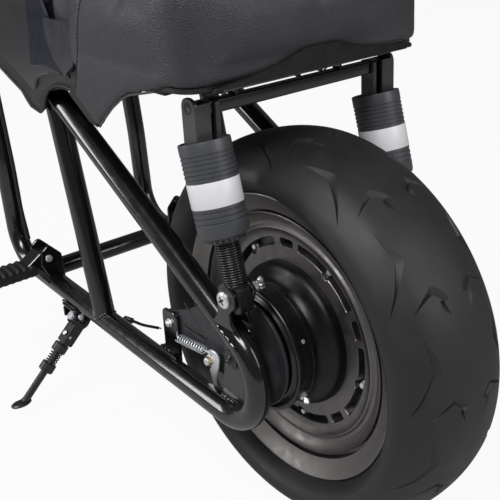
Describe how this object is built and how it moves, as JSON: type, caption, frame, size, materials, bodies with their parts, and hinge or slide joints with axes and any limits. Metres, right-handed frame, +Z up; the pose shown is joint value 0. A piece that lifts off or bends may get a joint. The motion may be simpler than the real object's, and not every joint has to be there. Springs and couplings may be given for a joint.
{
  "type": "electric motorcycle rear chassis",
  "caption": "Rear chassis of a small electric motorcycle: looped tube frame, hub-motor wheel with drum brake, two seat shocks, seat, body cover, foot pegs and side stand.",
  "frame": {"origin": "centre of the steering head's bore", "axes": "+X forward, +Y to the left, +Z up as the motorcycle stands upright"},
  "size_m": [1.0296, 0.4888, 0.8079],
  "materials": {
    "frame_paint": "gloss black paint",
    "satin_steel": "satin grey paint",
    "tyre": "matte",
    "rim_grey": "satin warm grey",
    "motor_black": "semi-gloss black",
    "zinc": "zinc plated",
    "shroud_grey": "fine satin",
    "spring_black": "semi-gloss black",
    "seat_leather": "grained",
    "black_plastic": "satin",
    "cover_gloss": "gloss",
    "peg_rubber": "matte",
    "stand_black": "satin black"
  },
  "bodies": {
    "frame": {"axle_caps": "motor_black", "axle_spacer": "zinc", "battery_block": "black_plastic", "body_cover": "cover_gloss", "brake_anchor_plate": "satin_steel", "brake_lever": "zinc", "brake_return_spring": "zinc", "brake_stay": "frame_paint", "brake_stay_bolt": "zinc", "left_axle_plate": "frame_paint", "left_down_tube": "frame_paint", "left_front_bend": "frame_paint", "left_lower_tube": "frame_paint", "left_neck_tube": "frame_paint", "left_peg_bracket": "frame_paint", "left_rear_bend": "frame_paint", "left_seat_skirt": "seat_leather", "left_shock_bracket": "frame_paint", "left_shock_clevis": "satin_steel", "left_shock_eye": "spring_black", "left_shock_shroud": "shroud_grey", "left_shock_spring": "spring_black", "left_side_panel": "cover_gloss", "left_strut": "frame_paint", "left_upper_tube": "frame_paint", "lower_cross_tube": "frame_paint", "neck_brace": "frame_paint", "neck_cross_tube": "frame_paint", "rear_axle": "zinc", "right_axle_plate": "frame_paint", "right_down_tube": "frame_paint", "right_front_bend": "frame_paint", "right_lower_tube": "frame_paint", "right_neck_tube": "frame_paint", "right_peg_bracket": "frame_paint", "right_rear_bend": "frame_paint", "right_seat_skirt": "seat_leather", "right_shock_bracket": "frame_paint", "right_shock_clevis": "satin_steel", "right_shock_eye": "spring_black", "right_shock_shroud": "shroud_grey", "right_shock_spring": "spring_black", "right_side_panel": "cover_gloss", "right_strut": "frame_paint", "right_upper_tube": "frame_paint", "seat_cross_bar": "frame_paint", "seat_cushion": "seat_leather", "seat_pan": "black_plastic", "stand_bracket": "frame_paint", "steering_head": "frame_paint", "wiring_loom": "black_plastic"},
    "rear_wheel": {"rear_tyre": "tyre", "rear_rim": "rim_grey", "hub_motor": "motor_black", "brake_drum": "motor_black"},
    "side_stand_leg": {"side_stand": "stand_black", "side_stand_spring": "zinc"},
    "left_peg": {"left_foot_peg": "peg_rubber"},
    "right_peg": {"right_foot_peg": "peg_rubber"}
  },
  "joints": [
    {"name": "rear_wheel_spin", "type": "hinge", "parent": "frame", "child": "rear_wheel", "pos_m": [-0.735, 0, -0.4865], "axis": [0, 1, 0], "continuous": true},
    {"name": "side_stand_fold", "type": "hinge", "parent": "frame", "child": "side_stand_leg", "pos_m": [-0.351, 0.128, -0.587], "axis": [0, 0.7193, 0.6947], "range_deg": [0, 92]},
    {"name": "left_peg_fold", "type": "hinge", "parent": "frame", "child": "left_peg", "pos_m": [-0.265, 0.133, -0.506], "axis": [1, 0, 0], "range_deg": [0, 90]},
    {"name": "right_peg_fold", "type": "hinge", "parent": "frame", "child": "right_peg", "pos_m": [-0.265, -0.133, -0.506], "axis": [-1, 0, 0], "range_deg": [0, 90]}
  ]
}
